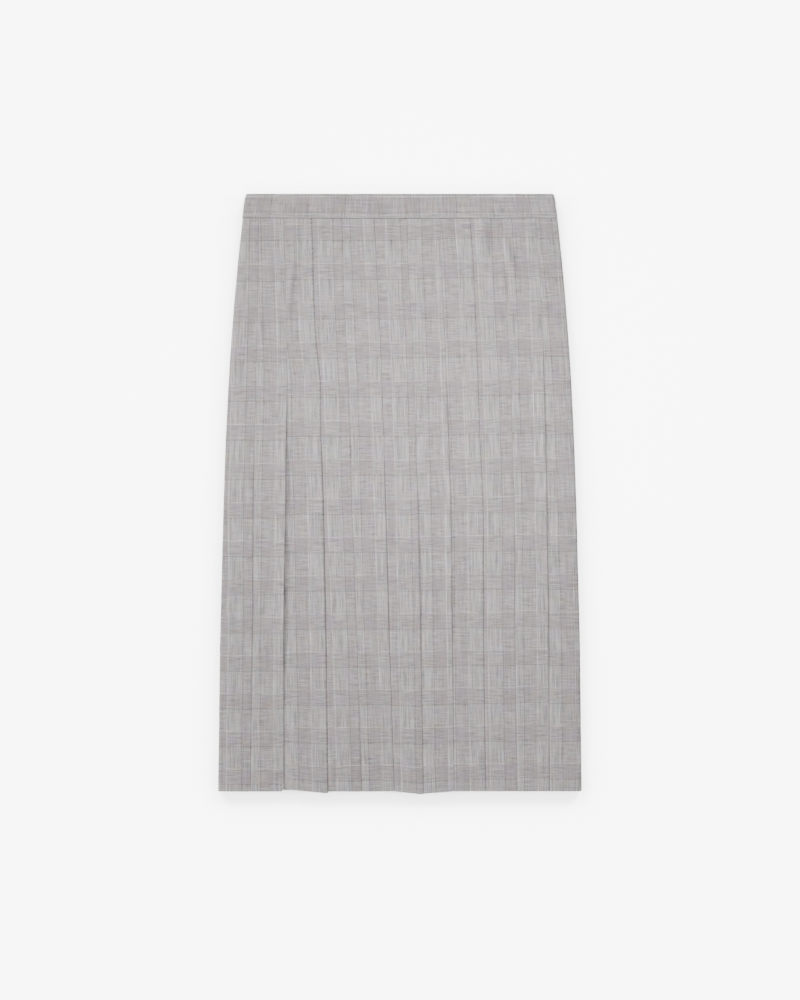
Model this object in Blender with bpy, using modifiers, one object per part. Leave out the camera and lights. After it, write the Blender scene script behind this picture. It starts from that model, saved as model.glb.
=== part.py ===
"""Knife-pleated skirt laid flat on its back: a pleated front, a pleated back, a waistband in two folded
strips, and a side zip that lies closed inside the right seam. Sizes are in millimetres, the scene in metres.
X runs across the skirt, Y from the hem to the waist, and Z up from the surface that it lies on."""

import math

import bpy
import bmesh

MM = 0.001

# Cloth
WALL = 1.0
GAP = 0.3
LAYER = WALL + GAP
STACK = 5 * LAYER + WALL
TOP_LEVEL = STACK - WALL / 2
MIDDLE_LEVEL = TOP_LEVEL - LAYER
LOW_LEVEL = TOP_LEVEL - 2 * LAYER
SEAM_LEVEL = LOW_LEVEL - WALL / 2

# Skirt
WAIST_Y = 367.0
BAND_SEAM_Y = 337.3
HEM_Y = -362.8
PITCH = 83.2
FOLD_BEND = LAYER / 2
FOLD_REACH = FOLD_BEND + WALL / 2

# How far the cloth beside a fold takes to climb from under it, where the pleat is stitched and where it is free
STITCHED_RISE = 3.0
FREE_RISE = 15.0
RISE_CLEAR = 0.8
FREE_BLEND = 130.0

# Side edges, which turn down to the seam between front and back
EDGE_TURN = 3.0
EDGE_INSET = WALL / 2
EDGE_FOOT = 0.4
FRONT_EDGE_LEVEL = 5.2
BACK_EDGE_LEVEL = TOP_LEVEL

# Heights at which the fold lines are given, and where the sections of the front and the back are taken
LEVELS = (337.0, 237.3, 139.5, -7.2, -178.4, -355.7)
FRONT_STATIONS = (337.0, 295.0, 237.3, 185.0, 139.5, 90.0, 40.0, -20.0, -90.0, -178.4, -260.0, -320.0, -345.0, HEM_Y)
BACK_STATIONS = (337.0, 237.3, 139.5, 60.0, -60.0, -178.4, -280.0, HEM_Y + 1.5)

# A row for each line down the front: its x at each of LEVELS, the y under which its pleat hangs free, how far
# its edge lifts at the hem, and how far the hem drops where the panel before it starts and where it ends
LINE_COLUMNS = ("name", "x", "free_below", "lift", "hem_start", "hem_end")
FRONT_LINES = (
    ("left edge", (-192.0, -202.0, -209.1, -215.3, -219.6, -221.4), 337.0, 0.0, 0.0, 0.0),
    ("pleat 1", (-171.7, -172.9, -175.3, -179.0, -179.6, -182.1), 115.0, 0.8, 0.0, 0.0),
    ("pleat 2", (-141.1, -138.7, -136.8, -139.3, -141.7, -141.1), 142.0, 2.4, 0.0, -2.8),
    ("pleat 3", (-107.1, -104.4, -96.5, -93.4, -89.8, -87.3), 149.0, 1.2, 0.0, 3.3),
    ("pleat 4", (-70.2, -67.7, -62.9, -58.6, -51.8, -46.3), -276.0, 0.3, 0.3, 0.0),
    ("pleat 5", (-31.1, -26.2, -21.9, -17.6, -12.7, -6.6), 115.0, 1.0, 0.0, -0.2),
    ("pleat 6", (9.3, 13.0, 17.9, 22.1, 25.8, 28.9), 66.0, 0.8, -0.2, 3.9),
    ("pleat 7", (49.6, 53.3, 57.0, 61.9, 64.3, 66.8), 166.0, 1.2, 2.7, -0.3),
    ("pleat 8", (86.3, 92.4, 96.1, 102.2, 102.8, 105.3), 66.0, 0.7, -0.3, -0.3),
    ("pleat 9", (125.5, 130.4, 135.9, 140.1, 140.7, 143.8), 66.0, 0.7, -0.3, -0.3),
    ("pleat 10", (167.0, 173.1, 176.2, 179.3, 181.7, 182.9), 237.0, 1.2, -0.3, -0.3),
    ("right edge", (192.7, 202.5, 209.5, 215.7, 219.9, 221.4), 337.0, 0.0, -0.3, -0.3),
)

# Waistband
BAND_EDGE_LEVELS = (WAIST_Y, 365.0, 360.0, BAND_SEAM_Y)
BAND_EDGE_X = (186.6, 188.2, 189.2, 192.3)
BAND_TURN = 5.0
BAND_END_HEIGHT = LAYER + 0.15
BAND_STATIONS = 10
BEND_STEPS = 4

# Side zip
ZIP_TOP = 336.0
ZIP_LENGTH = 185.0
ZIP_INSET = 6.0
TAPE_WIDTH = 14.0
TAPE_STATIONS = 8
SLIDER_SIZE = (4.6, 9.0, 2.0)
TAB_SIZE = (3.4, 18.0, 0.8)

# Materials
CLOTH_GREY = (0.46, 0.44, 0.45, 1.0)
TAPE_GREY = (0.40, 0.39, 0.40, 1.0)
METAL_GREY = (0.60, 0.60, 0.62, 1.0)


def between(a, b, share):
    return a + (b - a) * share


def smooth(share):
    share = min(max(share, 0.0), 1.0)
    return share * share * (3.0 - 2.0 * share)


def read_off(y, levels, values):
    """The value at height y of a quantity given at falling levels, carried on past the last one."""
    last = len(levels) - 2
    row = next((i for i in range(last) if y >= levels[i + 1]), last)
    share = (levels[row] - y) / (levels[row] - levels[row + 1])
    return between(values[row], values[row + 1], share)


def line(row):
    return dict(zip(LINE_COLUMNS, row))


def back_lines():
    """The back's lines, evenly spaced between its edges, which are the front's seen from the other side."""
    left = FRONT_LINES[-1][1]
    right = FRONT_LINES[0][1]
    count = len(FRONT_LINES) - 1
    rows = []
    for index in range(count + 1):
        xs = tuple(between(-a, -b, index / count) for a, b in zip(left, right))
        rows.append(("line", xs, LEVELS[-1] * 2, 0.0, 0.0, 0.0))
    return tuple(rows)


def arc(centre_x, centre_z, start, end, hem):
    """Points on a fold's bend, from one angle to another in degrees."""
    points = []
    for step in range(BEND_STEPS):
        angle = math.radians(between(start, end, step / (BEND_STEPS - 1)))
        points.append(
            (centre_x + FOLD_BEND * math.cos(angle), centre_z + FOLD_BEND * math.sin(angle), hem)
        )
    return points


def edge_turn(x, side, level, hem):
    """Points from the seam up to the edge's level. The side is 1 for the left edge and -1 for the right."""
    points = [(x + side * EDGE_INSET, SEAM_LEVEL, hem)]
    foot = SEAM_LEVEL + EDGE_FOOT
    for step in range(BEND_STEPS):
        angle = math.radians(90.0 * step / (BEND_STEPS - 1))
        across = EDGE_INSET + EDGE_TURN * (1.0 - math.cos(angle))
        points.append((x + side * across, foot + (level - foot) * math.sin(angle), hem))
    return points


def section(y, lines, edge_level):
    """The skirt panel cut across at height y, as (x, z, hem drop), with its outer face up."""
    rows = [line(row) for row in lines]
    at = [read_off(y, LEVELS, row["x"]) for row in rows]
    points = edge_turn(at[0], 1, edge_level, rows[0]["hem_end"])
    for index in range(1, len(rows) - 1):
        row = rows[index]
        before, fold = at[index - 1], at[index]
        free = smooth((row["free_below"] - y) / FREE_BLEND)
        climb_free = smooth((rows[index - 1]["free_below"] - y) / FREE_BLEND)
        lift = row["lift"] * free
        start = before + (EDGE_INSET + EDGE_TURN if index == 1 else -0.2)
        nearest = before + (7.0 if index == 1 else STITCHED_RISE + RISE_CLEAR)
        bend = fold - FOLD_REACH
        tuck = max(bend - (PITCH - (fold - before)) / 2, nearest)
        room = tuck - RISE_CLEAR - start
        rise = room if index == 1 else between(STITCHED_RISE, min(FREE_RISE, room), climb_free)
        low = edge_level if index == 1 else LOW_LEVEL

        def hem_at(x):
            return between(row["hem_start"], row["hem_end"], (x - before) / (fold - before))

        def lifted(x):
            return lift * max(0.0, (x - tuck) / (fold - tuck)) ** 2

        for share in (0.3, 0.65, 1.0):
            x = start + rise * share
            points.append((x, between(low, TOP_LEVEL, smooth(share)) + lifted(x), hem_at(x)))
        x = between(tuck, bend, 0.55)
        points.append((x, TOP_LEVEL + lifted(x), hem_at(x)))
        points += arc(bend, MIDDLE_LEVEL + FOLD_BEND + lifted(bend), 90.0, -90.0, hem_at(fold))
        points.append((x, MIDDLE_LEVEL + lifted(x), hem_at(fold)))
        points += arc(tuck, LOW_LEVEL + FOLD_BEND, 90.0, 270.0, hem_at(fold))
        points.append((fold - 0.2, LOW_LEVEL, rows[index + 1]["hem_start"]))
    fold, edge = at[-2], at[-1]
    hem = rows[-1]["hem_end"]
    climb_free = smooth((rows[-2]["free_below"] - y) / FREE_BLEND)
    rise = between(STITCHED_RISE, FREE_RISE * 0.6, climb_free)
    for share in (0.3, 0.65, 1.0):
        points.append((fold - 0.2 + rise * share, between(LOW_LEVEL, TOP_LEVEL, smooth(share)), hem))
    inner = edge - EDGE_INSET - EDGE_TURN
    below_zip = smooth((ZIP_TOP - ZIP_LENGTH - y) / FREE_BLEND)
    fall = between(2.8, 12.0, below_zip)
    points.append((inner - fall, TOP_LEVEL, hem))
    points.append((inner - fall * 0.45, between(TOP_LEVEL, edge_level, 0.55), hem))
    return points + edge_turn(edge, -1, edge_level, hem)[::-1]


def hem_share(y):
    """How much of a hem's drop shows at height y: none above the lowest quarter, all at the hem."""
    return max(0.0, (HEM_Y * 0.45 - y) / (HEM_Y * 0.45 - HEM_Y)) ** 2


def front_sections():
    rows = []
    for y in reversed(FRONT_STATIONS):
        cut = section(y, FRONT_LINES, FRONT_EDGE_LEVEL)
        rows.append([(x, y - drop * hem_share(y), z) for x, z, drop in cut])
    return rows


def back_sections():
    """The back is a panel of the same make, turned over so that its outer face lies on the surface."""
    rows = []
    for y in reversed(BACK_STATIONS):
        cut = section(y, back_lines(), BACK_EDGE_LEVEL)
        rows.append([(-x, y, STACK - z) for x, z, drop in cut])
    return rows


def band_sections():
    """The waistband's front strip, from its left end to its right: up outside, over the top and down inside."""
    bend_steps = 2 * BEND_STEPS
    ends = (0.0, 0.35, 1.0)
    across = [BAND_TURN * share for share in ends]
    half = BAND_EDGE_X[-1]
    inner = [between(-half + BAND_TURN, half - BAND_TURN, i / BAND_STATIONS) for i in range(1, BAND_STATIONS)]
    xs = [-half + a for a in across] + inner + [half - a for a in reversed(across)]
    rows = []
    for x in xs:
        turned = min(1.0, (half - abs(x)) / BAND_TURN)
        height = between(BAND_END_HEIGHT, 2 * LAYER, math.sqrt(1.0 - (1.0 - turned) ** 2))
        radius = height / 2
        crown = WAIST_Y - WALL / 2 - radius
        profile = [(BAND_SEAM_Y, LOW_LEVEL + height), (between(BAND_SEAM_Y, crown, 0.6), LOW_LEVEL + height)]
        for step in range(bend_steps + 1):
            angle = math.radians(between(90.0, -90.0, step / bend_steps))
            profile.append((crown + radius * math.cos(angle), LOW_LEVEL + radius * (1.0 + math.sin(angle))))
        profile += [(between(BAND_SEAM_Y, crown, 0.6), LOW_LEVEL), (BAND_SEAM_Y, LOW_LEVEL)]
        rows.append(
            [(x / half * read_off(y + WALL / 2, BAND_EDGE_LEVELS, BAND_EDGE_X), y, z) for y, z in profile]
        )
    return [[row[i] for row in rows] for i in reversed(range(len(rows[0])))]


def turned_over(rows):
    return [[(-x, y, STACK - z) for x, y, z in row] for row in rows]


def right_edge(y):
    return read_off(y, LEVELS, FRONT_LINES[-1][1])


def tape_sections():
    rows = []
    for step in range(TAPE_STATIONS):
        y = ZIP_TOP - SLIDER_SIZE[1] - GAP - ZIP_LENGTH * (1.0 - step / (TAPE_STATIONS - 1))
        outer = right_edge(y) - ZIP_INSET
        rows.append([(outer - TAPE_WIDTH, y, LOW_LEVEL), (outer, y, LOW_LEVEL)])
    return rows


def clear_scene():
    for old in list(bpy.data.objects):
        bpy.data.objects.remove(old, do_unlink=True)


def material(name, colour, roughness, metallic):
    made = bpy.data.materials.new(name)
    made.use_nodes = True
    shader = made.node_tree.nodes["Principled BSDF"]
    shader.inputs["Base Color"].default_value = colour
    shader.inputs["Roughness"].default_value = roughness
    shader.inputs["Metallic"].default_value = metallic
    made.diffuse_color = colour
    return made


def finish(name, mesh, collection, surface):
    made = bpy.data.objects.new(name, mesh)
    mesh.materials.append(surface)
    collection.objects.link(made)
    return made


def cloth(name, rows, collection, surface):
    """A wall of cloth round a middle surface given as rows of (x, y, z) points."""
    shape = bmesh.new()
    bmesh.ops.create_grid(shape, x_segments=len(rows[0]) - 1, y_segments=len(rows) - 1, size=1.0)
    points = [point for row in rows for point in row]
    for vertex, point in zip(shape.verts, points):
        vertex.co = [value * MM for value in point]
    mesh = bpy.data.meshes.new(name)
    shape.to_mesh(mesh)
    shape.free()
    made = finish(name, mesh, collection, surface)
    wall = made.modifiers.new("wall", "SOLIDIFY")
    wall.thickness = WALL * MM
    wall.offset = 0.0
    wall.use_even_offset = True
    return made


def block(name, size, centre, collection, surface):
    """A box of this size with eased edges."""
    shape = bmesh.new()
    bmesh.ops.create_cube(shape, size=1.0)
    for vertex in shape.verts:
        vertex.co = [(c + v * s) * MM for c, v, s in zip(centre, vertex.co, size)]
    mesh = bpy.data.meshes.new(name)
    shape.to_mesh(mesh)
    shape.free()
    made = finish(name, mesh, collection, surface)
    eased = made.modifiers.new("eased", "BEVEL")
    eased.width = 0.25 * MM
    eased.segments = 2
    return made


def zip_slider(collection, surface):
    """The slider at the top of the closed zip, with its tab folded down flat over the chain."""
    y = ZIP_TOP - SLIDER_SIZE[1] / 2
    x = right_edge(y) - ZIP_INSET - TAPE_WIDTH / 2
    bottom = SEAM_LEVEL + 0.05
    body = block("zip_slider", SLIDER_SIZE, (x, y, bottom + SLIDER_SIZE[2] / 2), collection, surface)
    tab_top = bottom + SLIDER_SIZE[2] - 0.1
    tab_y = y + 1.0 - TAB_SIZE[1] / 2
    tab = block("tab", TAB_SIZE, (x, tab_y, tab_top - TAB_SIZE[2] / 2), collection, surface)
    tab.hide_render = True
    tab.hide_viewport = True
    joined = body.modifiers.new("tab", "BOOLEAN")
    joined.operation = "UNION"
    joined.solver = "EXACT"
    joined.object = tab


def main():
    clear_scene()
    collection = bpy.data.collections.new("pleated_skirt")
    bpy.context.scene.collection.children.link(collection)
    cloth("front_panel", front_sections(), collection, material("front cloth", CLOTH_GREY, 0.9, 0.0))
    cloth("back_panel", back_sections(), collection, material("back cloth", CLOTH_GREY, 0.9, 0.0))
    band = band_sections()
    cloth("waistband_front", band, collection, material("front band cloth", CLOTH_GREY, 0.9, 0.0))
    cloth("waistband_back", turned_over(band), collection, material("back band cloth", CLOTH_GREY, 0.9, 0.0))
    cloth("zip_tape", tape_sections(), collection, material("woven tape", TAPE_GREY, 0.85, 0.0))
    zip_slider(collection, material("zinc", METAL_GREY, 0.35, 1.0))


main()
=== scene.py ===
import math

import bpy
import bmesh
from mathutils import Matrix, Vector, noise


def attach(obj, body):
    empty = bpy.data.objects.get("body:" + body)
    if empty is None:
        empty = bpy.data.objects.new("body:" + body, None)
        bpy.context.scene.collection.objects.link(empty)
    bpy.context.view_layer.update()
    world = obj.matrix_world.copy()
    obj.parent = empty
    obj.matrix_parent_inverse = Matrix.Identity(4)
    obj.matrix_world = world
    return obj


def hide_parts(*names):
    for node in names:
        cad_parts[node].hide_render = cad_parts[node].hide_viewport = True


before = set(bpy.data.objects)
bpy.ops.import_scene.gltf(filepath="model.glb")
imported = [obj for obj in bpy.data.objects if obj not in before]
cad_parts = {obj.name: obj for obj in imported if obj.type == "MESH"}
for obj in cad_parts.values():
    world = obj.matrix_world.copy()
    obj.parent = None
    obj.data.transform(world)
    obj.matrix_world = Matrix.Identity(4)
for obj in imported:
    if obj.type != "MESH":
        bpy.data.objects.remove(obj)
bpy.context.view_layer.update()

bl_info = {
    "name": "Pleated skirt",
    "version": (1, 0, 0),
    "blender": (4, 5, 0),
    "location": "3D View > Sidebar > Skirt",
    "description": "Dresses a knife-pleated check skirt that lies flat",
    "category": "Mesh",
}

MM = 0.001

# Levels of the folded layers, in mm above the surface that the skirt lies on
WALL = 1.0  # the solids' cloth, which the layers are spaced for
LAYER = 1.3  # from one layer to the next
STACK = 7.5  # the whole skirt
TOP_LEVEL = 7.0  # the front's outer layer
LOW_LEVEL = TOP_LEVEL - 2 * LAYER  # the front's lowest layer
SEAM_LEVEL = 3.9  # the side seams

# Side edges, in mm
EDGE_INSET = WALL / 2  # how far inside the outline the cloth's middle turns up
EDGE_TURN = 3.0  # width of the turn
EDGE_FOOT = 0.4  # height of the upright part under the turn
FRONT_EDGE_LEVEL = 6.2  # level that the front comes to at its edges
EDGE_CLEAR = 7.0  # from the left edge to the nearest place of the first inner fold
EDGE_FALL = (6.5, 4.5)  # how far inside the right edge the front starts to fall, beside the zip and below it
EDGE_STEPS = 6  # points round a side edge's turn

# Heights up and down the skirt, in mm
WAIST_Y = 366.75
BAND_SEAM_Y = 337.3
PANEL_TOP_Y = 336.6
HEM_Y = -362.8
BACK_HEM_RISE = 1.5  # how much shorter the back is
HEM_CURVE_Y = 0.45 * HEM_Y  # where the drops of the hem begin to pull the cloth down
SEAM_BOW = 0.6  # how far the waist seam bows down in its middle
SEAM_BOW_REACH = 28.0  # from the seam to where the cloth bows no more

# Pleats, in mm
PITCH = 83.2  # cloth from fold to fold
FIRST_PLACE = 36.0  # cloth before the first fold
STITCHED_RISE = 3.0  # the shortest way over which a panel climbs from under a fold
RISE_CLEAR = 0.8  # from the top of that climb to the inner fold
FREE_BLEND = 130.0  # height over which a pleat comes free of its stitching
FOLD_BEND = LAYER / 2  # radius of a fold that hangs free
PRESSED_BEND = 0.42  # radius of a fold that is stitched and pressed
PRESSED_START = 0.3  # how far under a fold the next panel starts
OPEN_RISE = 14.0  # how far a panel climbs beside a fold that hangs free
GROOVE_END = 1.4  # width of a pressed groove for each mm of its steep part
LIFT_END = -270.0  # height under which a free fold lies flat again
LIFT_BLEND = 150.0  # height over which it does
CORNER = 4.0  # width of the curl at a fold's hem corner
UNDER_HEM = 0.5  # how much shorter the hidden layers are at the hem
FOLD_CLOTH = 1.6  # cloth in the bend of a fold
TUCK_CLOTH = 2.0  # cloth in the bend of an inner fold
PAST_FOLD = 1.0  # cloth from a fold to where the layer under it starts
OUTER_STEPS = 17  # faces across the outer layer of each pleat

# Slight waves of the outer layer, in mm: how far apart they lie across and down, and how high they are
SLOW_WAVE = (26.0, 95.0, 0.36)
FINE_WAVE = (11.0, 30.0, 0.12)
WAVE_SEED_STEP = 7.0  # keeps the two from being alike
CALM_REACH = 8.0  # before a fold, where waves and creases fade
CALM_SHARE = 0.7  # how much of them is gone at the fold
EDGE_CALM = 0.4  # how much of them is gone where the front starts to fall to its right edge
FRONT_WAVES = (1.0, 1.0)  # seed of the front's waves, and their share of that height
BACK_WAVES = (5.0, 0.3)  # the same for the back, which is pressed flatter

# Check of the cloth, in mm. The pale zone starts at the pale line across, and at the dark line down
CHECK_ACROSS = 34.8
CHECK_DOWN = 47.35
PALE_ACROSS = 18.3
PALE_DOWN = 27.8
LINE_WIDTH = 1.1
CHECK_TOP = 27.0  # from the top of a panel to its first dark line
BACK_CHECK = (9.0, 13.6)  # the pale line's place at the back's left edge, and its step from pleat to pleat
BAND_CHECK = (-12.6, 34.0)  # where the band's check starts across the strip and along it
BAND_EASE = (0.9, 1.035)  # check for each mm of the band, across the strip and along it
SAG_TOP = 300.0  # height under which a panel's check starts to leave its sag at the waist
SAG_BLEND = 80.0  # height over which it comes to the sag further down

# A row for each line down the front. x is given at LEVELS. Then come the y under which its pleat hangs free,
# the lift of its edge, how far the hem drops where the panel before it starts and ends, how far the check's
# pale line lies from the fold, how much lower the check lies on the panel before it at the waist and further
# down, how wide the groove beside it is where the pleat is pressed shut, and how much of its depth stays open
# where it hangs free
LEVELS = (337.0, 286.3, 237.3, 188.4, 139.5, 66.2, -7.2, -178.4, -355.7)
CHECK_EASE = (0.0, 0.0, 0.0, 0.6, 1.1, 1.9, 2.3, 0.1, -4.5)  # how much lower the whole check lies at LEVELS
NEVER_FREE = 2 * LEVELS[-1]  # a height far under the hem
LINE_COLUMNS = (
    "name", "x", "free_below", "lift", "hem_start", "hem_end", "check_from_fold", "check_sag", "shut", "open",
)
FRONT_LINES = (
    ("left edge", (-192.0, -197.6, -202.0, -205.9, -209.1, -212.8, -215.3, -219.8, -222.0),
     337.0, 0.0, 0.0, 0.0, 0.0, (0.0, 5.0), 1.0, 1.0),
    ("pleat 1", (-171.7, -172.3, -172.9, -174.1, -175.3, -177.2, -179.0, -179.6, -182.1),
     115.0, 0.6, 0.0, 0.0, 30.4, (0.0, 5.0), 0.6, 0.16),
    ("pleat 2", (-141.1, -139.9, -138.7, -137.4, -136.8, -138.7, -139.3, -141.7, -141.1),
     162.0, 2.7, 0.0, 0.0, 12.8, (0.0, 5.0), 0.65, 0.5),
    ("pleat 3", (-107.1, -105.6, -104.4, -102.0, -96.5, -95.9, -93.4, -89.8, -87.3),
     149.0, 0.6, -3.2, 2.6, 19.9, (0.0, 0.5), 1.0, 0.17),
    ("pleat 4", (-70.2, -69.0, -67.7, -65.3, -62.9, -59.8, -58.6, -51.8, -46.3),
     -276.0, 0.3, 0.0, 0.0, 30.6, (0.0, 0.5), 0.7, 0.3),
    ("pleat 5", (-31.1, -28.6, -26.2, -23.7, -21.9, -19.4, -17.6, -12.7, -6.6),
     115.0, 0.7, 0.0, -0.2, 14.1, (0.0, 0.0), 1.1, 0.05),
    ("pleat 6", (9.3, 10.5, 13.0, 16.0, 17.9, 19.7, 22.1, 25.8, 28.9),
     95.0, 0.9, -0.2, 3.9, 27.5, (0.0, 0.5), 0.5, 0.33),
    ("pleat 7", (49.6, 50.9, 53.3, 55.8, 57.0, 59.4, 61.9, 64.3, 66.8),
     205.0, 1.2, 2.7, -0.3, 7.3, (-1.3, -0.4), 0.6, 0.2),
    ("pleat 8", (86.3, 90.0, 92.4, 94.3, 96.1, 98.6, 102.2, 102.8, 105.3),
     66.0, 0.4, -0.3, -0.3, 19.9, (-2.6, -1.7), 0.5, 0.12),
    ("pleat 9", (125.5, 127.9, 130.4, 132.8, 135.9, 137.7, 140.1, 140.7, 143.8),
     66.0, 0.4, -0.3, -0.3, 33.9, (-3.9, -1.7), 0.4, 0.12),
    ("pleat 10", (167.0, 170.1, 173.1, 175.0, 176.2, 178.0, 179.3, 181.7, 182.9),
     237.0, 0.9, -0.3, -0.3, 14.6, (-3.6, -3.4), 0.5, 0.25),
    ("right edge", (192.7, 198.1, 202.5, 206.2, 209.5, 213.0, 215.7, 220.1, 222.2),
     337.0, 0.0, -0.3, -0.3, 7.1, (-2.7, -1.7), 0.0, 0.0),
)

# A row for each crease: its ends, its half width and its height, in mm. A trough has a height under 0. A
# crease fades to half its height at its ends, and reaches three half widths to its sides
CREASE_COLUMNS = ("start", "end", "half_width", "height")
FRONT_CREASES = (
    ((-127.5, 336.0), (-130.0, 278.0), 5.0, 2.0),
    ((-129.5, 280.0), (-134.5, 254.0), 4.0, 2.5),
    ((-134.5, 254.0), (-136.0, 214.0), 4.0, 2.2),
    ((101.5, 336.0), (104.0, 296.0), 5.0, 3.6),
    ((127.5, 304.0), (138.5, 274.0), 5.0, 4.4),
    ((-206.0, 40.0), (-212.0, -330.0), 6.0, 0.6),
    ((200.0, 20.0), (205.0, -120.0), 7.0, 0.5),
)
BACK_CREASES = (
    ((61.4, 250.0), (65.9, 60.0), 4.0, -0.6),
    ((-89.5, -20.0), (-91.3, -350.0), 4.0, -0.6),
    ((147.4, -100.0), (149.8, -300.0), 4.0, -0.6),
)
CREASE_REACH = 3.0
END_FADE = 0.5

# Waistband, in mm: its half width at falling heights, how far in its ends turn down, and how high they are
BAND_EDGE_LEVELS = (367.0, 365.0, 360.0, BAND_SEAM_Y)
BAND_EDGE_X = (186.6, 188.2, 189.2, 192.3)
BAND_TURN = 5.0
BAND_END_HEIGHT = LAYER + 0.15
BAND_WAVE = (34.0, 14.0, 0.22)  # how far apart its waves lie across and down, and how high they are
BAND_WAVE_SEED = 3.0  # keeps them from being like a panel's
BAND_CALM = 4.0  # above the seam, where the waves fade
BAND_END_SHARES = (0.0, 0.06, 0.16, 0.35, 0.6, 1.0)  # where the columns of points lie in the turn at its ends
BAND_STEPS = 90  # columns between the turns

# Side zip, in mm
ZIP_TOP = 336.0
ZIP_LENGTH = 185.0
ZIP_INSET = 6.0
TAPE_WIDTH = 14.0
SLIDER_LENGTH = 9.0
EDGE_GAP = 0.3
TAPE_THICKNESS = 0.5
TAPE_LEVEL = LOW_LEVEL - 0.15
TAPE_ROWS = 60
TAPE_COLUMNS = 15
TOOTH_PITCH = 1.5
TOOTH_START = 1.0
TOOTH_RADIUS = 0.5
TOOTH_STRETCH = (3.2, 1.1, 0.7)
TOOTH_STAGGER = 0.5
TOOTH_LEVEL = LOW_LEVEL + 0.35

# Stage, in m: the floor's half width, where the soft box hangs and shines, where the side light comes from,
# and the place on the skirt that the camera looks down on
FLOOR_REACH = 40.0
SOFT_BOX_PLACE = (0.03, 0.13, 0.42)
SOFT_BOX_AIM = (0.03, 0.13, 0.0)
SIDE_LIGHT_PLACE = (-2.0, 0.9, 0.95)
VIEW_CENTRE = (0.0002, -0.0072)

# Lights that reach the floor alone: name, where each shines from in m, energy and angle in degrees
FLOOR_WASHES = (
    ("upper left wash", (-1.2, 2.0, 0.65), 26.0, 20.0),
    ("upper right wash", (1.2, 2.0, 0.65), 26.0, 20.0),
    ("left wash", (-2.0, 0.0, 0.45), 15.5, 16.0),
    ("right wash", (2.0, 0.0, 0.45), 15.5, 16.0),
    ("lower wash", (0.0, -2.0, 1.0), 7.6, 20.0),
    ("overhead wash", (0.0, 0.0, 2.0), 1.4, 60.0),
)


def linear(code):
    """An sRGB hex colour as linear red, green, blue and alpha."""
    values = [int(code[i:i + 2], 16) / 255 for i in (1, 3, 5)]
    return [v / 12.92 if v <= 0.04045 else ((v + 0.055) / 1.055) ** 2.4 for v in values] + [1.0]


def between(a, b, share):
    """The value that lies a share of the way from a to b."""
    return a + (b - a) * share


def smooth(share):
    """A share eased at both ends and kept from 0 to 1."""
    share = min(max(share, 0.0), 1.0)
    return share * share * (3.0 - 2.0 * share)


def read_off(y, levels, values):
    """The value at height y of a quantity given at falling levels, carried on past the last one."""
    last = len(levels) - 2
    row = next((i for i in range(last) if y >= levels[i + 1]), last)
    share = (levels[row] - y) / (levels[row] - levels[row + 1])
    return between(values[row], values[row + 1], share)


def line(row):
    """A row of the table of lines by the names of its columns."""
    return dict(zip(LINE_COLUMNS, row))


def back_lines():
    """The back's lines, evenly spaced between its edges, which are the front's seen from the other side."""
    left, right = FRONT_LINES[-1][1], FRONT_LINES[0][1]
    count = len(FRONT_LINES) - 1
    rows = []
    for index in range(count + 1):
        xs = tuple(between(-a, -b, index / count) for a, b in zip(left, right))
        from_fold = (BACK_CHECK[0] + BACK_CHECK[1] * index) % CHECK_ACROSS
        rows.append(("line", xs, NEVER_FREE, 0.0, 0.0, 0.0, from_fold, (0.0, 0.0), 0.7, 0.4))
    return tuple(rows)


def fold_places(rows):
    """Where each fold lies across the flat cloth, in mm: one pitch on, and at its own place in the check."""
    places = [0.0]
    for row in rows[1:]:
        wanted = places[-1] + (PITCH if len(places) > 1 else FIRST_PLACE)
        steps = round((wanted - row["check_from_fold"]) / CHECK_ACROSS)
        places.append(steps * CHECK_ACROSS + row["check_from_fold"])
    return places


def crease_height(x, y, creases):
    """The height in mm that the creases give the cloth at a place."""
    total = 0.0
    for row in creases:
        crease = dict(zip(CREASE_COLUMNS, row))
        start, end = Vector(crease["start"]), Vector(crease["end"])
        along = end - start
        share = min(max((Vector((x, y)) - start).dot(along) / along.length_squared, 0.0), 1.0)
        away = (Vector((x, y)) - (start + along * share)).length / crease["half_width"]
        if away < CREASE_REACH:
            total += crease["height"] * math.exp(-away * away) * (1.0 - END_FADE * abs(2.0 * share - 1.0))
    return total


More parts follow.
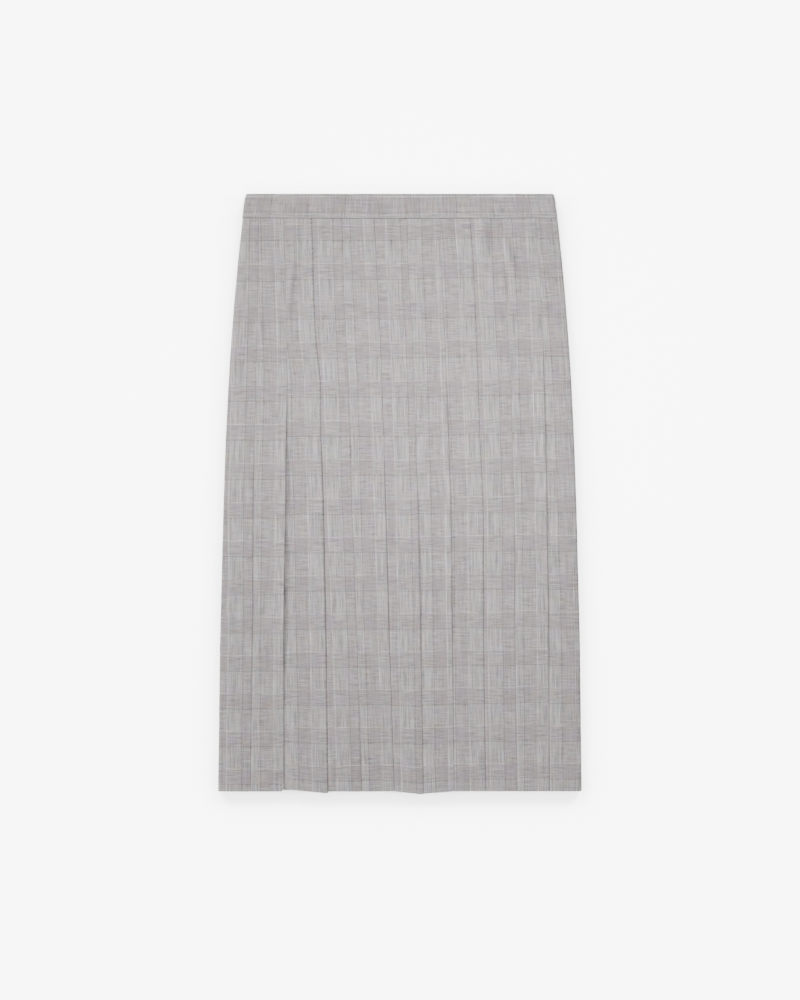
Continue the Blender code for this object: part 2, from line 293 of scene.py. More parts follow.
class Section:
    """A panel cut across at one height: points of x, height, hem drop, place on the cloth and check sag."""

    def __init__(self, y, rows, places, edge_level, creases, waves):
        self.y = y
        self.rows = rows
        self.places = places
        self.edge_level = edge_level
        self.creases = creases
        self.wave_seed, self.wave_share = waves
        self.at = [read_off(y, LEVELS, row["x"]) for row in rows]
        self.points = []

    def add(self, x, z, hem, across, sag, loose):
        """Adds a point, with the check's sag at the waist and below, and its share of creases and waves."""
        lower = between(*sag, smooth((SAG_TOP - self.y) / SAG_BLEND)) + read_off(self.y, LEVELS, CHECK_EASE)
        self.points.append((x, z + self.relief(x, loose), hem, across, lower))

    def relief(self, x, loose):
        """Creases and slight waves, on the outer layer alone."""
        if loose == 0.0:
            return 0.0
        slow = noise.noise(Vector((x / SLOW_WAVE[0], self.y / SLOW_WAVE[1], self.wave_seed)))
        fine = noise.noise(Vector((x / FINE_WAVE[0], self.y / FINE_WAVE[1], self.wave_seed + WAVE_SEED_STEP)))
        waves = self.wave_share * (SLOW_WAVE[2] * slow + FINE_WAVE[2] * fine)
        return loose * (crease_height(x, self.y, self.creases) + waves)

    def edge(self, index, side):
        """From the seam up to the edge's level. The side is 1 for the left edge and -1 for the right."""
        x = self.at[index]
        row = self.rows[index]
        hem, sag = row["hem_end"], row["check_sag"]
        foot = SEAM_LEVEL + EDGE_FOOT
        found = [(x + side * EDGE_INSET, SEAM_LEVEL)]
        for step in range(EDGE_STEPS):
            angle = math.radians(90.0 * step / (EDGE_STEPS - 1))
            across = EDGE_INSET + EDGE_TURN * (1.0 - math.cos(angle))
            found.append((x + side * across, foot + (self.edge_level - foot) * math.sin(angle)))
        if side < 0:
            found.reverse()
        anchor = self.places[1] - (self.at[1] - self.at[0]) if side > 0 else self.places[-1]
        for px, pz in found:
            self.add(px, pz, hem, anchor + (px - x), sag, 0.0)

    def bend(self, centre_x, centre_z, radius, start, end, hem, across, run, sag, steps):
        """A fold's bend from one angle to another, with the run of cloth in it from a place across."""
        for step in range(steps):
            share = step / (steps - 1)
            angle = math.radians(between(start, end, share))
            self.add(
                centre_x + radius * math.cos(angle),
                centre_z + radius * math.sin(angle),
                hem, across + run * share, sag, 0.0,
            )

    def freedom(self, index):
        """From 0, where the pleat at this line is stitched down, to 1, where it hangs free."""
        return smooth((self.rows[index]["free_below"] - self.y) / FREE_BLEND)

    def climb(self, rise, low, beside, opened):
        """How a panel climbs from under the fold beside it: steeply, then gently as far as it is open."""
        steep = min(beside["shut"], rise / GROOVE_END)
        runs = [steep * share for share in (0.2, 0.4, 0.6, 0.8, 1.0)]
        runs += [between(steep, rise, step / 5) for step in range(1, 6)]
        shares = [between(smooth(run / steep), smooth(run / rise), opened) for run in runs]
        return [(run, between(low, TOP_LEVEL, share)) for run, share in zip(runs, shares)]

    def pleat(self, index):
        """From under the fold before to this fold, over it and back, and on under the next panel."""
        beside, row, after = self.rows[index - 1:index + 2]
        before, fold = self.at[index - 1], self.at[index]
        first = index == 1
        free = self.freedom(index)
        lift = row["lift"] * free ** 2 * smooth((self.y - LIFT_END) / LIFT_BLEND)
        radius = between(PRESSED_BEND, FOLD_BEND, free * row["open"])
        middle_level = TOP_LEVEL - 2 * radius
        low_level = TOP_LEVEL - 4 * radius
        start = before + (EDGE_INSET + EDGE_TURN if first else -PRESSED_START)
        nearest = before + (EDGE_CLEAR if first else STITCHED_RISE + RISE_CLEAR)
        bend = fold - radius - WALL / 2
        tuck = max(bend - (PITCH - (fold - before)) / 2, nearest)
        room = tuck - RISE_CLEAR - start
        ease = 1.0 if first else self.freedom(index - 1)
        rise = room if first else between(beside["shut"] * GROOVE_END, min(OPEN_RISE, room), ease)
        low = self.edge_level if first else self.points[-1][1]
        place = self.places[index]
        sag = row["check_sag"]

        def hem_at(x):
            curl = row["lift"] * max(0.0, 1.0 - (fold - x) / CORNER) ** 2
            return between(row["hem_start"], row["hem_end"], (x - before) / (fold - before)) - curl

        def lifted(x):
            return lift * max(0.0, (x - tuck) / (fold - tuck)) ** 2

        for run, height in self.climb(rise, low, beside, 1.0 if first else ease * beside["open"]):
            x = start + run
            loose = smooth(1.2 * run / rise - 0.2)
            self.add(x, height + lifted(x), hem_at(x), place - (fold - x), sag, loose)
        for step in range(1, OUTER_STEPS):
            x = between(start + rise, bend, step / OUTER_STEPS)
            calm = 1.0 - CALM_SHARE * smooth((x - bend + CALM_REACH) / CALM_REACH)
            self.add(x, TOP_LEVEL + lifted(x), hem_at(x), place - (fold - x), sag, calm)
        hem = hem_at(fold)
        top = TOP_LEVEL - radius + lifted(bend)
        self.bend(bend, top, radius, 90.0, -90.0, hem, place - FOLD_CLOTH / 2, FOLD_CLOTH, sag, 6)
        under_start = self.places[index + 1] - (self.at[index + 1] - fold) - PRESSED_START
        for step in range(1, 4):
            x = between(bend, tuck, step / 4)
            across = between(place + PAST_FOLD, under_start, step / 9)
            self.add(x, middle_level + lifted(x), hem_at(x) - UNDER_HEM, across, sag, 0.0)
        middle = between(place, under_start, 0.5)
        hem = hem_at(tuck) - UNDER_HEM
        inner_start = middle - TUCK_CLOTH / 2
        self.bend(tuck, low_level + radius, radius, 90.0, 270.0, hem, inner_start, TUCK_CLOTH, sag, 5)
        hem = between(hem, after["hem_start"], 0.5)
        self.add(between(tuck, fold, 0.5), low_level, hem, between(middle, under_start, 0.5), sag, 0.0)
        self.add(fold - PRESSED_START, low_level, after["hem_start"], under_start, after["check_sag"], 0.0)

    def last_panel(self):
        """From under the last fold to the side edge."""
        fold, edge = self.at[-2], self.at[-1]
        row = self.rows[-1]
        hem, sag = row["hem_end"], row["check_sag"]
        low = self.points[-1][1]
        start = fold - PRESSED_START
        ease = self.freedom(-2)
        beside = self.rows[-2]
        rise = between(beside["shut"] * GROOVE_END, OPEN_RISE, ease)
        below_zip = smooth((ZIP_TOP - ZIP_LENGTH - self.y) / FREE_BLEND)
        fall = between(*EDGE_FALL, below_zip)
        inner = edge - EDGE_INSET - EDGE_TURN
        for run, height in self.climb(rise, low, beside, ease * beside["open"]):
            x = start + run
            self.add(x, height, hem, self.places[-1] - (edge - x), sag, smooth(run / rise))
        for step in range(1, OUTER_STEPS + 1):
            share = step / OUTER_STEPS
            x = between(start + rise, inner - fall, share)
            self.add(x, TOP_LEVEL, hem, self.places[-1] - (edge - x), sag, 1.0 - EDGE_CALM * share)
        for step in range(1, 5):
            x = inner - fall * (1 - step / 5)
            z = between(TOP_LEVEL, self.edge_level, smooth(step / 5))
            loose = (1.0 - EDGE_CALM) * (1.0 - step / 5)
            self.add(x, z, hem, self.places[-1] - (edge - x), sag, loose)

    def build(self):
        """All the points of the section, from the left seam to the right."""
        self.edge(0, 1)
        for index in range(1, len(self.rows) - 1):
            self.pleat(index)
        self.last_panel()
        self.edge(-1, -1)
        return self.points


def hem_share(y):
    """How much of the hem's drops reaches up to a height."""
    return max(0.0, (HEM_CURVE_Y - y) / (HEM_CURVE_Y - HEM_Y)) ** 2


def seam_bow(x, y):
    """How far the cloth bows down in the middle of the waist seam and close to it."""
    near = max(0.0, 1.0 - abs(y - BAND_SEAM_Y) / SEAM_BOW_REACH)
    return SEAM_BOW * near * (1.0 - (x / BAND_EDGE_X[-1]) ** 2)


def panel_rows(lines, edge_level, creases, waves, hem_y, count, turned):
    """Rows of (point, place on the flat cloth) from hem to waist. A turned panel has its outer face down."""
    rows = [line(row) for row in lines]
    places = fold_places(rows)
    found = []
    for step in range(count):
        y = between(hem_y, PANEL_TOP_Y, step / (count - 1))
        cut = Section(y, rows, places, edge_level, creases, waves).build()
        made = []
        for x, z, drop, across, sag in cut:
            lower = y - seam_bow(x, y)
            point = (-x, lower, STACK - z) if turned else (x, lower - drop * hem_share(y), z)
            made.append((point, (across, PANEL_TOP_Y - y - sag)))
        found.append(made)
    return found


def band_rows():
    """Rows of (point, place on the flat cloth) of the waistband's front strip, from its inner edge round."""
    half = BAND_EDGE_X[-1]
    left_turn = [-half + BAND_TURN * share for share in BAND_END_SHARES]
    inner = half - BAND_TURN
    xs = left_turn + [between(-inner, inner, step / BAND_STEPS) for step in range(1, BAND_STEPS)]
    xs += [-x for x in reversed(left_turn)]
    columns = []
    for x in xs:
        turned = min(1.0, (half - abs(x)) / BAND_TURN)
        height = between(BAND_END_HEIGHT, 2 * LAYER, math.sqrt(1.0 - (1.0 - turned) ** 2))
        radius = height / 2
        crown = WAIST_Y - WALL / 2 - radius
        outer = [(between(BAND_SEAM_Y, crown, i / 10), LOW_LEVEL + height, 1.0) for i in range(10)]
        bend = []
        for step in range(9):
            angle = math.radians(between(90.0, -90.0, step / 8))
            bend.append((crown + radius * math.cos(angle), LOW_LEVEL + radius * (1.0 + math.sin(angle)), 0.0))
        under = [(between(crown, BAND_SEAM_Y, i / 4), LOW_LEVEL, 0.0) for i in range(1, 5)]
        column = []
        run = 0.0
        last = None
        for y, z, loose in outer + bend + under:
            run += math.hypot(y - last[0], z - last[1]) if last else 0.0
            last = (y, z)
            spot = Vector((x / BAND_WAVE[0], y / BAND_WAVE[1], BAND_WAVE_SEED))
            wave = noise.noise(spot) * BAND_WAVE[2] * loose * turned
            wave *= smooth((y - BAND_SEAM_Y) / BAND_CALM)
            across = x / half * read_off(y + WALL / 2, BAND_EDGE_LEVELS, BAND_EDGE_X)
            place = (run * BAND_EASE[0], (x + half) * BAND_EASE[1])
            column.append(((across, y - seam_bow(x, y), z + wave), place))
        columns.append(column)
    return [[column[i] for column in columns] for i in reversed(range(len(columns[0])))]


def turned_over(rows):
    """The same sheet on the other side of the skirt."""
    return [[((-p[0], p[1], STACK - p[2]), place) for p, place in row] for row in rows]


def right_edge(y):
    """Where the skirt's right edge lies at a height."""
    return read_off(y, LEVELS, FRONT_LINES[-1][1])


def cloth_sheet(name, rows, thickness):
    """A flat grid, as the cloth is cut, folded to rows of points, with its flat places in mm as UVs."""
    shape = bmesh.new()
    bmesh.ops.create_grid(shape, x_segments=len(rows[0]) - 1, y_segments=len(rows) - 1, size=1.0)
    flat = [item for row in rows for item in row]
    layer = shape.loops.layers.uv.new("cloth")
    shape.verts.ensure_lookup_table()
    for vertex, (point, place) in zip(shape.verts, flat):
        vertex.co = [value * MM for value in point]
    for face in shape.faces:
        face.smooth = True
        for loop in face.loops:
            loop[layer].uv = flat[loop.vert.index][1]
    # A cut edge is crisp: without this the last row of faces shades as if it rolled over
    for edge in shape.edges:
        edge.smooth = not edge.is_boundary
    mesh = bpy.data.meshes.new(name)
    shape.to_mesh(mesh)
    shape.free()
    sheet = bpy.data.objects.new(name, mesh)
    bpy.context.scene.collection.objects.link(sheet)
    wall = sheet.modifiers.new("thickness", "SOLIDIFY")
    wall.thickness = thickness
    wall.offset = 0.0
    wall.use_even_offset = True
    return sheet


def add_node(tree, kind, settings=None, links=None):
    """Adds a node, gives it settings by attribute or input, and links its inputs."""
    made = tree.nodes.new(kind)
    for key, value in (settings or {}).items():
        if isinstance(key, str) and hasattr(made, key):
            setattr(made, key, value)
        else:
            made.inputs[key].default_value = value
    for key, source in (links or {}).items():
        tree.links.new(source, made.inputs[key])
    return made


def set_stops(ramp, stops, blend="LINEAR"):
    """Gives a colour ramp its stops as (place, linear colour)."""
    ramp.color_ramp.interpolation = blend
    elements = ramp.color_ramp.elements
    while len(elements) > 1:
        elements.remove(elements[-1])
    elements[0].position, elements[0].color = stops[0]
    for place, colour in stops[1:]:
        elements.new(place).color = colour


class SkirtCloth(bpy.types.PropertyGroup):
    """Sizes and colours of the cloth"""

    thickness: bpy.props.FloatProperty(
        name="Cloth thickness", description="Thickness of the woven cloth", default=0.0007, unit="LENGTH"
    )
    rows: bpy.props.IntProperty(
        name="Rows", description="Rows of faces from hem to waist on each panel", default=100, min=20
    )
    pale: bpy.props.FloatVectorProperty(
        name="Pale yarn", description="Pale ground of the check",
        default=linear("#C1BCBC"), subtype="COLOR", size=4, min=0.0, max=1.0,
    )
    warp_dark: bpy.props.FloatVectorProperty(
        name="Dark warp", description="Dark lengthwise yarn",
        default=linear("#B5ABAD"), subtype="COLOR", size=4, min=0.0, max=1.0,
    )
    weft_dark: bpy.props.FloatVectorProperty(
        name="Dark weft", description="Dark crosswise yarn",
        default=linear("#B5ABAD"), subtype="COLOR", size=4, min=0.0, max=1.0,
    )
    line_strength: bpy.props.FloatProperty(
        name="Line strength", description="How far the check's fine lines differ from its ground",
        default=0.5, subtype="FACTOR", min=0.0,
    )
    yarn_strength: bpy.props.FloatProperty(
        name="Yarn strength", description="How far single yarns differ from their ground",
        default=1.15, subtype="FACTOR", min=0.0,
    )
    tint_spread: bpy.props.FloatVectorProperty(
        name="Tint spread", description="How far the dyed yarns' red, green and blue wander",
        default=(0.21, 0.22, 0.36), size=3, min=0.0, max=1.0,
    )


class SkirtStage(bpy.types.PropertyGroup):
    """Floor and camera"""

    floor: bpy.props.FloatVectorProperty(
        name="Floor", description="Colour of the floor",
        default=linear("#F4F4F4"), subtype="COLOR", size=4, min=0.0, max=1.0,
    )
    camera_height: bpy.props.FloatProperty(
        name="Camera height", description="Height of the camera above the skirt", default=2.5, unit="LENGTH"
    )
    view_height: bpy.props.FloatProperty(
        name="View height", description="Height of the camera's view at the skirt",
        default=1.2195, unit="LENGTH",
    )


def wool_check(name, start=(0.0, CHECK_TOP)):
    """Worsted wool blend, woven in a glen check and pressed: matt, with a faint nap."""
    settings = bpy.context.scene.skirt_cloth
    made = bpy.data.materials.new(name)
    made.use_nodes = True
    tree = made.node_tree
    shader = tree.nodes["Principled BSDF"]
    places = add_node(tree, "ShaderNodeUVMap", {"uv_map": "cloth"}).outputs[0]
    moved = add_node(tree, "ShaderNodeVectorMath", {"operation": "SUBTRACT", 1: (*start, 0.0)}, {0: places})
    repeats = add_node(
        tree, "ShaderNodeVectorMath", {"operation": "DIVIDE", 1: (CHECK_ACROSS, CHECK_DOWN, 1.0)},
        {0: moved.outputs[0]},
    )
    shares = add_node(tree, "ShaderNodeVectorMath", {"operation": "FRACTION"}, {0: repeats.outputs[0]})
    share = add_node(tree, "ShaderNodeSeparateXYZ", None, {0: shares.outputs[0]})
    in_dark = []
    for axis, edge in enumerate((PALE_ACROSS / CHECK_ACROSS, PALE_DOWN / CHECK_DOWN)):
        past_edge = {"operation": "GREATER_THAN", 1: edge}
        in_dark.append(add_node(tree, "ShaderNodeMath", past_edge, {0: share.outputs[axis]}).outputs[0])
    pale_mark, dark_mark, no_mark = (1.0, 1.0, 1.0, 1.0), (0.0, 0.0, 0.0, 1.0), (0.5, 0.5, 0.5, 1.0)
    # A row for each direction: repeat, width of the pale zone, dark yarn, marks where the pale and dark zones
    # start, strength of its lines, stretch of its yarn streaks, and their strength under a pale and a dark
    # warp, first where the weft is pale and then where it is dark
    directions = (
        (
            CHECK_ACROSS, PALE_ACROSS, settings.warp_dark, pale_mark, dark_mark, 1.0, (0.5, 0.02, 1.0),
            ((1.9, 1.1), (0.8, 0.6)),
        ),
        (
            CHECK_DOWN, PALE_DOWN, settings.weft_dark, dark_mark, pale_mark, 1.1, (0.05, 0.5, 1.0),
            ((0.6, 1.5), (1.6, 1.1)),
        ),
    )
    line_gain, uneven_power = 3.0, 1.6
    zones, terms = [], []
    for axis, row in enumerate(directions):
        repeat, pale_width, dark, first_mark, second_mark, strength, stretch, weights = row
        edge, width = pale_width / repeat, LINE_WIDTH / repeat
        zone = add_node(tree, "ShaderNodeValToRGB", None, {0: share.outputs[axis]})
        set_stops(zone, [(0.0, settings.pale), (edge, dark)], "CONSTANT")
        zones.append(zone.outputs[0])
        mark = add_node(tree, "ShaderNodeValToRGB", None, {0: share.outputs[axis]})
        stops = [(0.0, first_mark), (width, no_mark), (edge, second_mark), (edge + width, no_mark)]
        set_stops(mark, stops, "CONSTANT")
        # Single yarns show as streaks, most of all along the warp where both yarns are pale and along the
        # weft where one is dark. They are drawn about 2 mm apart: real ones, 0.5 mm, are too fine to show
        stretched = add_node(tree, "ShaderNodeVectorMath", {"operation": "MULTIPLY", 1: stretch}, {0: places})
        streaks = add_node(
            tree, "ShaderNodeTexNoise", {"Scale": 1.0, "Detail": 3.0, "Roughness": 0.75},
            {"Vector": stretched.outputs[0]},
        )
        # The fine lines are broken by the same streaks, because the yarns that make them are uneven
        centred = {"operation": "SUBTRACT", 1: 0.5}
        signed_mark = add_node(tree, "ShaderNodeMath", centred, {0: mark.outputs[0]})
        uneven = add_node(
            tree, "ShaderNodeMath", {"operation": "POWER", 1: uneven_power}, {0: streaks.outputs[0]}
        )
        line_height = line_gain * strength * settings.line_strength
        drawn = add_node(
            tree, "ShaderNodeMath", {"operation": "MULTIPLY", 1: line_height}, {0: signed_mark.outputs[0]}
        )
        terms.append(add_node(
            tree, "ShaderNodeMath", {"operation": "MULTIPLY"}, {0: drawn.outputs[0], 1: uneven.outputs[0]},
        ).outputs[0])
        signed = add_node(tree, "ShaderNodeMath", centred, {0: streaks.outputs[0]})
        by_warp = []
        for pair in weights:
            under_pale, under_dark = [weight * settings.yarn_strength for weight in pair]
            mix = {"data_type": "FLOAT", 2: under_pale, 3: under_dark}
            by_warp.append(add_node(tree, "ShaderNodeMix", mix, {0: in_dark[0]}).outputs[0])
        weight = add_node(
            tree, "ShaderNodeMix", {"data_type": "FLOAT"}, {0: in_dark[1], 2: by_warp[0], 3: by_warp[1]}
        )
        terms.append(add_node(
            tree, "ShaderNodeMath", {"operation": "MULTIPLY"}, {0: signed.outputs[0], 1: weight.outputs[0]},
        ).outputs[0])
    # Flecks of the spun yarn, about 1.5 mm, and slow patches of 40 mm
    flecks = add_node(tree, "ShaderNodeTexNoise", {"Scale": 0.7, "Detail": 1.0}, {"Vector": places})
    patches = add_node(tree, "ShaderNodeTexNoise", {"Scale": 0.025, "Detail": 1.0}, {"Vector": places})
    for source, strength in ((flecks, 0.35), (patches, 0.15)):
        terms.append(add_node(
            tree, "ShaderNodeMath", {"operation": "MULTIPLY", 1: strength}, {0: source.outputs[0]},
        ).outputs[0])
    # The ground's brightness, to which lines, streaks, flecks and patches add
    ground = add_node(tree, "ShaderNodeValue")
    ground.outputs[0].default_value = 0.75
    total = ground.outputs[0]
    for term in terms:
        total = add_node(tree, "ShaderNodeMath", {"operation": "ADD"}, {0: total, 1: term}).outputs[0]
    checked = add_node(tree, "ShaderNodeMix", {"data_type": "RGBA", 0: 0.5}, {6: zones[0], 7: zones[1]})
    final = add_node(
        tree, "ShaderNodeVectorMath", {"operation": "SCALE"}, {0: checked.outputs[2], "Scale": total}
    )
    # The dyed yarns wander a little in tint, from mauve to beige, in patches of about 15 mm
    dye = add_node(tree, "ShaderNodeTexNoise", {"Scale": 0.065, "Detail": 2.0}, {"Vector": places})
    spread = settings.tint_spread
    least = [1.0 - value / 2 for value in spread]
    tint = add_node(
        tree, "ShaderNodeVectorMath", {"operation": "MULTIPLY_ADD", 1: spread, 2: least},
        {0: dye.outputs["Color"]},
    )
    tinted = add_node(
        tree, "ShaderNodeVectorMath", {"operation": "MULTIPLY"}, {0: final.outputs[0], 1: tint.outputs[0]}
    )
    tree.links.new(tinted.outputs[0], shader.inputs["Base Color"])
    # Twill lines, drawn nearly 3 mm apart so that they show
    twill = add_node(
        tree, "ShaderNodeTexWave", {"bands_direction": "DIAGONAL", "Scale": 0.16, "Distortion": 0.6},
        {"Vector": places},
    )
    bump = add_node(
        tree, "ShaderNodeBump", {"Strength": 0.2, "Distance": 0.0002}, {"Height": twill.outputs["Fac"]}
    )
    tree.links.new(bump.outputs[0], shader.inputs["Normal"])
    shader.inputs["Roughness"].default_value = 0.92
    shader.inputs["Specular IOR Level"].default_value = 0.25
    shader.inputs["Sheen Weight"].default_value = 0.12
    shader.inputs["Sheen Roughness"].default_value = 0.5
    return made


def ride_sheet(sheet, node):
    """Attaches a sheet to the root body and hides the solid that it stands for."""
    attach(sheet, "root")
    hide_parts(node)


class SKIRT_OT_front(bpy.types.Operator):
    """Makes the pleated front from one sheet of check cloth"""

    bl_idname = "skirt.front"
    bl_label = "Pleated front"

    def execute(self, context):
        settings = context.scene.skirt_cloth
        rows = panel_rows(FRONT_LINES, FRONT_EDGE_LEVEL, FRONT_CREASES, FRONT_WAVES, HEM_Y, settings.rows, False)
        sheet = cloth_sheet("front_cloth", rows, settings.thickness)
        sheet.data.materials.append(wool_check("wool check, front"))
        ride_sheet(sheet, "front_panel")
        return {"FINISHED"}


class SKIRT_OT_back(bpy.types.Operator):
    """Makes the pleated back, which lies under the front"""

    bl_idname = "skirt.back"
    bl_label = "Pleated back"

    def execute(self, context):
        settings = context.scene.skirt_cloth
        lines = back_lines()
        hem_y = HEM_Y + BACK_HEM_RISE
        rows = panel_rows(lines, TOP_LEVEL, BACK_CREASES, BACK_WAVES, hem_y, settings.rows, True)
        sheet = cloth_sheet("back_cloth", rows, settings.thickness)
        sheet.data.materials.append(wool_check("wool check, back"))
        ride_sheet(sheet, "back_panel")
        return {"FINISHED"}


class SKIRT_OT_waistband(bpy.types.Operator):
    """Makes the two folded strips of the waistband"""

    bl_idname = "skirt.waistband"
    bl_label = "Waistband"

    def execute(self, context):
        settings = context.scene.skirt_cloth
        rows = band_rows()
        front = cloth_sheet("waistband_front_cloth", rows, settings.thickness)
        front.data.materials.append(wool_check("wool check, front band", BAND_CHECK))
        ride_sheet(front, "waistband_front")
        back = cloth_sheet("waistband_back_cloth", turned_over(rows), settings.thickness)
        back.data.materials.append(wool_check("wool check, back band", BAND_CHECK))
        ride_sheet(back, "waistband_back")
        return {"FINISHED"}


class SKIRT_OT_zip(bpy.types.Operator):
    """Makes the zip's tape and teeth and finishes its slider"""

    bl_idname = "skirt.zip"
    bl_label = "Side zip"

    def execute(self, context):
        top = ZIP_TOP - SLIDER_LENGTH - EDGE_GAP
        tape = cloth_sheet("zip_tape_cloth", self.tape_rows(top), TAPE_THICKNESS * MM)
        tape.data.materials.append(self.tape_material())
        ride_sheet(tape, "zip_tape")
        teeth = self.teeth(top)
        teeth.data.materials.append(self.tooth_material())
        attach(teeth, "root")
        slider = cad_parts["zip_slider"]
        slider.data.materials.clear()
        slider.data.materials.append(self.slider_material())
        return {"FINISHED"}

    def tape_rows(self, top):
        """Rows of (point, place on the flat cloth) of the closed tape, which follows the skirt's edge."""
        rows = []
        for step in range(TAPE_ROWS):
            y = top - ZIP_LENGTH * (1.0 - step / (TAPE_ROWS - 1))
            outer = right_edge(y) - ZIP_INSET
            row = []
            for place in range(TAPE_COLUMNS):
                x = outer - TAPE_WIDTH * (1 - place / (TAPE_COLUMNS - 1))
                row.append(((x, y, TAPE_LEVEL), (place, y)))
            rows.append(row)
        return rows

    def teeth(self, top):
        """A coil of moulded teeth down the middle of the tape."""
        shape = bmesh.new()
        count = int(ZIP_LENGTH / TOOTH_PITCH)
        for index in range(count):
            y = top - TOOTH_START - index * TOOTH_PITCH
            stagger = TOOTH_STAGGER if index % 2 else -TOOTH_STAGGER
            centre = (right_edge(y) - ZIP_INSET - TAPE_WIDTH / 2 + stagger, y, TOOTH_LEVEL)
            made = bmesh.ops.create_icosphere(shape, subdivisions=1, radius=TOOTH_RADIUS)
            for vertex in made["verts"]:
                sized = [value * stretch for value, stretch in zip(vertex.co, TOOTH_STRETCH)]
                vertex.co = [(v + c) * MM for v, c in zip(sized, centre)]
        mesh = bpy.data.meshes.new("zip_teeth")
        shape.to_mesh(mesh)
        shape.free()
        teeth = bpy.data.objects.new("zip_teeth", mesh)
        bpy.context.scene.collection.objects.link(teeth)
        return teeth

    def tape_material(self):
        """Woven polyester tape: matt, with ribs across it 0.6 mm apart."""
        made = bpy.data.materials.new("woven polyester tape")
        made.use_nodes = True
        tree = made.node_tree
        shader = tree.nodes["Principled BSDF"]
        places = add_node(tree, "ShaderNodeTexCoord")
        wave = add_node(
            tree, "ShaderNodeTexWave", {"bands_direction": "Y", "Scale": 520.0, "Distortion": 1.0},
            {"Vector": places.outputs["Object"]},
        )
        ramp = add_node(tree, "ShaderNodeValToRGB", None, {0: wave.outputs["Fac"]})
        set_stops(ramp, [(0.0, linear("#A3A0A2")), (1.0, linear("#B7B4B6"))])
        bump = add_node(
            tree, "ShaderNodeBump", {"Strength": 0.3, "Distance": 0.0001}, {"Height": wave.outputs["Fac"]}
        )
        tree.links.new(ramp.outputs[0], shader.inputs["Base Color"])
        tree.links.new(bump.outputs[0], shader.inputs["Normal"])
        shader.inputs["Roughness"].default_value = 0.8
        return made

    def tooth_material(self):
        """Moulded nylon coil: smooth, half matt, with faint flow marks."""
        made = bpy.data.materials.new("moulded nylon teeth")
        made.use_nodes = True
        tree = made.node_tree
        shader = tree.nodes["Principled BSDF"]
        places = add_node(tree, "ShaderNodeTexCoord")
        marks = add_node(tree, "ShaderNodeTexNoise", {"Scale": 900.0}, {"Vector": places.outputs["Object"]})
        ramp = add_node(tree, "ShaderNodeValToRGB", None, {0: marks.outputs[0]})
        set_stops(ramp, [(0.3, linear("#9C999B")), (0.7, linear("#A9A6A8"))])
        tree.links.new(ramp.outputs[0], shader.inputs["Base Color"])
        shader.inputs["Roughness"].default_value = 0.45
        return made

    def slider_material(self):
        """Die-cast zinc under grey enamel: even, half matt, with a fine pitted skin."""
        made = bpy.data.materials.new("grey enamelled zinc")
        made.use_nodes = True
        tree = made.node_tree
        shader = tree.nodes["Principled BSDF"]
        places = add_node(tree, "ShaderNodeTexCoord")
        pits = add_node(
            tree, "ShaderNodeTexNoise", {"Scale": 1500.0, "Detail": 3.0}, {"Vector": places.outputs["Object"]}
        )
        ramp = add_node(tree, "ShaderNodeValToRGB", None, {0: pits.outputs[0]})
        set_stops(ramp, [(0.3, linear("#A8A8AA")), (0.7, linear("#B4B4B6"))])
        bump = add_node(
            tree, "ShaderNodeBump", {"Strength": 0.2, "Distance": 0.00005}, {"Height": pits.outputs[0]}
        )
        tree.links.new(ramp.outputs[0], shader.inputs["Base Color"])
        tree.links.new(bump.outputs[0], shader.inputs["Normal"])
        shader.inputs["Roughness"].default_value = 0.38
        return made


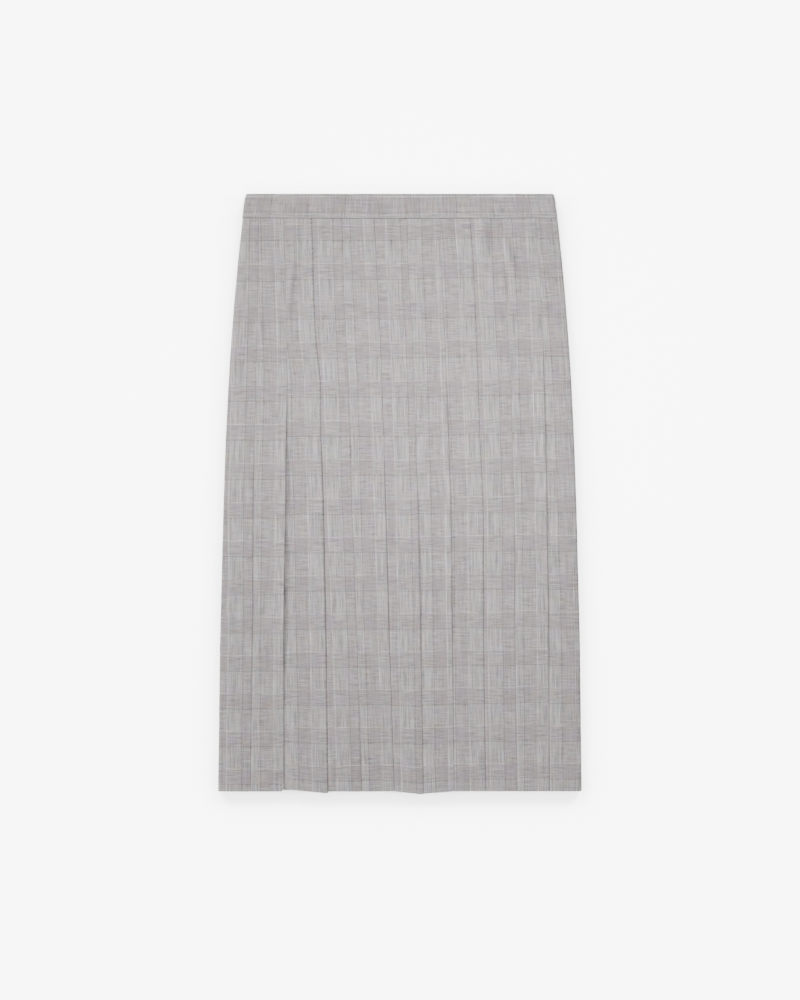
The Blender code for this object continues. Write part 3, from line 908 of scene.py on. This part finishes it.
class SKIRT_OT_stage(bpy.types.Operator):
    """Makes the pale floor, the soft light and the camera straight above"""

    bl_idname = "skirt.stage"
    bl_label = "Stage"

    def execute(self, context):
        settings = context.scene.skirt_stage
        floor = self.make_floor(context, settings.floor)
        self.light_room(context)
        self.light_floor(context, floor)
        self.add_camera(context, settings)
        return {"FINISHED"}

    def make_floor(self, context, colour):
        """A painted board that runs past the picture on all sides."""
        shape = bmesh.new()
        bmesh.ops.create_grid(shape, x_segments=1, y_segments=1, size=FLOOR_REACH)
        mesh = bpy.data.meshes.new("floor")
        shape.to_mesh(mesh)
        shape.free()
        floor = bpy.data.objects.new("floor", mesh)
        context.scene.collection.objects.link(floor)
        paint = bpy.data.materials.new("painted board")
        paint.use_nodes = True
        shader = paint.node_tree.nodes["Principled BSDF"]
        shader.inputs["Base Color"].default_value = colour
        shader.inputs["Roughness"].default_value = 0.9
        shader.inputs["Specular IOR Level"].default_value = 0.1
        mesh.materials.append(paint)
        floor.visible_diffuse = False
        return floor

    def light_room(self, context):
        """The pale room, a small soft box over the upper skirt and a low side light from the left."""
        world = bpy.data.worlds.new("pale room")
        world.use_nodes = True
        sky = world.node_tree.nodes["Background"]
        sky.inputs["Color"].default_value = linear("#FFFFFF")
        sky.inputs["Strength"].default_value = 0.5
        context.scene.world = world
        soft_box = bpy.data.lights.new("soft box", "AREA")
        soft_box.energy = 1.25
        soft_box.size = 0.3
        self.place_lamp(context, soft_box, SOFT_BOX_PLACE, SOFT_BOX_AIM).visible_camera = False
        side = bpy.data.lights.new("side light", "SUN")
        side.energy = 2.9
        side.angle = math.radians(26.0)
        self.place_lamp(context, side, SIDE_LIGHT_PLACE)

    def light_floor(self, context, floor):
        """Washes that light the floor alone, so that it turns out nearly white and its shadows stay soft."""
        only_floor = bpy.data.collections.new("floor only")
        only_floor.objects.link(floor)
        for name, place, energy, angle in FLOOR_WASHES:
            wash = bpy.data.lights.new(name, "SUN")
            wash.energy = energy
            wash.angle = math.radians(angle)
            self.place_lamp(context, wash, place).light_linking.receiver_collection = only_floor

    def add_camera(self, context, settings):
        """A camera that looks straight down on the skirt."""
        data = bpy.data.cameras.new("camera")
        data.sensor_width = 36.0
        data.lens = data.sensor_width * settings.camera_height / settings.view_height
        camera = bpy.data.objects.new("camera", data)
        camera.location = (*VIEW_CENTRE, settings.camera_height + STACK * MM)
        context.scene.collection.objects.link(camera)
        context.scene.camera = camera

    def place_lamp(self, context, light, place, target=(0.0, 0.0, 0.0)):
        """Adds a lamp that shines from its place at a target."""
        lamp = bpy.data.objects.new(light.name, light)
        lamp.rotation_mode = "QUATERNION"
        lamp.location = place
        lamp.rotation_quaternion = (Vector(place) - Vector(target)).to_track_quat("Z", "Y")
        context.scene.collection.objects.link(lamp)
        return lamp


class SKIRT_PT_tools(bpy.types.Panel):
    """Lists the skirt's sizes, colours and pieces"""

    bl_idname = "SKIRT_PT_tools"
    bl_label = "Pleated skirt"
    bl_space_type = "VIEW_3D"
    bl_region_type = "UI"
    bl_category = "Skirt"

    def draw(self, context):
        for settings in (context.scene.skirt_cloth, context.scene.skirt_stage):
            box = self.layout.box()
            for name in settings.__annotations__:
                box.prop(settings, name)
        for operator in OPERATORS:
            self.layout.operator(operator.bl_idname)


OPERATORS = (SKIRT_OT_stage, SKIRT_OT_back, SKIRT_OT_front, SKIRT_OT_waistband, SKIRT_OT_zip)
CLASSES = (SkirtCloth, SkirtStage, *OPERATORS, SKIRT_PT_tools)


def register():
    for cls in CLASSES:
        bpy.utils.register_class(cls)
    bpy.types.Scene.skirt_cloth = bpy.props.PointerProperty(type=SkirtCloth)
    bpy.types.Scene.skirt_stage = bpy.props.PointerProperty(type=SkirtStage)


def unregister():
    del bpy.types.Scene.skirt_stage
    del bpy.types.Scene.skirt_cloth
    for cls in reversed(CLASSES):
        bpy.utils.unregister_class(cls)


def main():
    """Makes the stage and the skirt."""
    register()
    bpy.ops.skirt.stage()
    bpy.ops.skirt.back()
    bpy.ops.skirt.front()
    bpy.ops.skirt.waistband()
    bpy.ops.skirt.zip()


if __name__ == "__main__":
    main()
